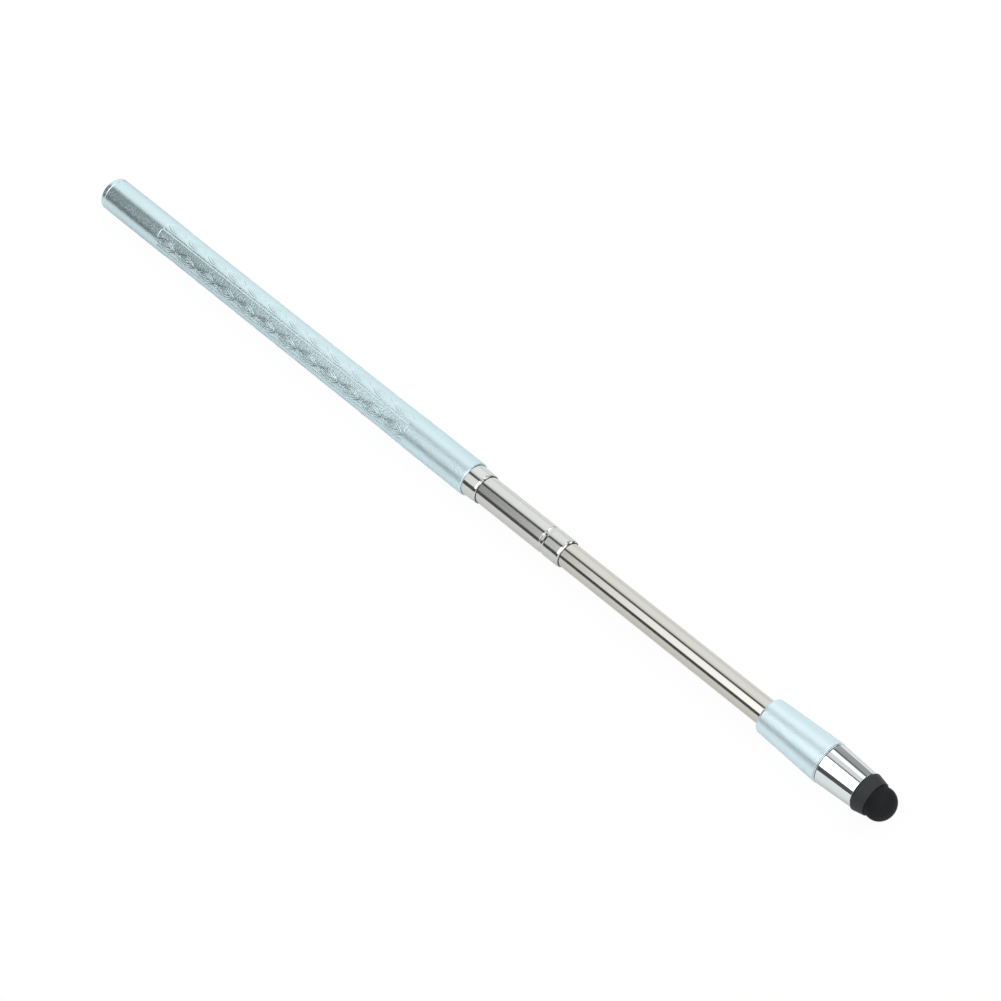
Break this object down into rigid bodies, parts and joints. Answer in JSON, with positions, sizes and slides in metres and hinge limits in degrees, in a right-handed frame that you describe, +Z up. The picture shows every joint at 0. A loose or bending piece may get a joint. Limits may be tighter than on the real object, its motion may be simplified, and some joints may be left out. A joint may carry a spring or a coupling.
{
  "type": "telescopic touch pen",
  "caption": "Slim round touch pen whose steel tubes draw out of an engraved barrel, with a tapered tip and a soft dome for touch screens.",
  "frame": {"origin": "on the pen's axis, in the plane where the tail cap meets the rear end of the barrel", "axes": "+X along the pen towards the tip, +Z up as the pen lies on a table, +Y across it; the pen is round about X"},
  "size_m": [0.2424, 0.0094, 0.0094],
  "materials": {
    "barrel_blue": "anodised light blue, fine satin",
    "cap_blue": "anodised light blue, fine satin",
    "holder_blue": "anodised light blue, fine satin",
    "sleeve_steel": "drawn and lightly polished",
    "middle_steel": "drawn and lightly polished",
    "inner_steel": "drawn and lightly polished",
    "seam_steel": "turned",
    "ferrule_chrome": "mirror",
    "bush_brass": "turned",
    "clip_bronze": "spring strip",
    "bush_nylon": "natural",
    "carrier_plastic": "moulded",
    "pad_rubber": "matt",
    "ring_rubber": "smooth matt",
    "core_sponge": "sponge",
    "dome_rubber": "matt, faintly rough"
  },
  "bodies": {
    "barrel": {"barrel": "barrel_blue", "tail_cap": "cap_blue", "tail_stop_pad": "pad_rubber", "outer_sleeve": "sleeve_steel", "sleeve_guide_bush": "bush_nylon"},
    "middle_clip": {"middle_friction_clip": "clip_bronze"},
    "middle_tube": {"middle_tube": "middle_steel", "middle_stop_bush": "bush_brass", "middle_guide_bush": "bush_nylon"},
    "inner_clip": {"inner_friction_clip": "clip_bronze"},
    "inner_tube_and_tip": {"inner_tube": "inner_steel", "inner_stop_bush": "bush_brass", "tip_connector": "bush_brass", "tip_holder": "holder_blue", "seam_ring": "seam_steel", "chrome_ferrule": "ferrule_chrome", "dome_carrier": "carrier_plastic", "clamp_ring": "ring_rubber", "dome_core": "core_sponge", "dome_tip": "dome_rubber"}
  },
  "joints": [
    {"name": "middle_tube_slide", "type": "slide", "parent": "barrel", "child": "middle_clip", "axis": [1, 0, 0], "range_m": [-0.0247, 0.0797]},
    {"name": "middle_tube_swivel", "type": "hinge", "parent": "middle_clip", "child": "middle_tube", "pos_m": [0.0347, 0, 0], "axis": [1, 0, 0], "continuous": true},
    {"name": "inner_tube_slide", "type": "slide", "parent": "middle_tube", "child": "inner_clip", "axis": [1, 0, 0], "range_m": [-0.0569, 0.0348]},
    {"name": "inner_tube_swivel", "type": "hinge", "parent": "inner_clip", "child": "inner_tube_and_tip", "pos_m": [0.1043, 0, 0], "axis": [1, 0, 0], "continuous": true}
  ]
}
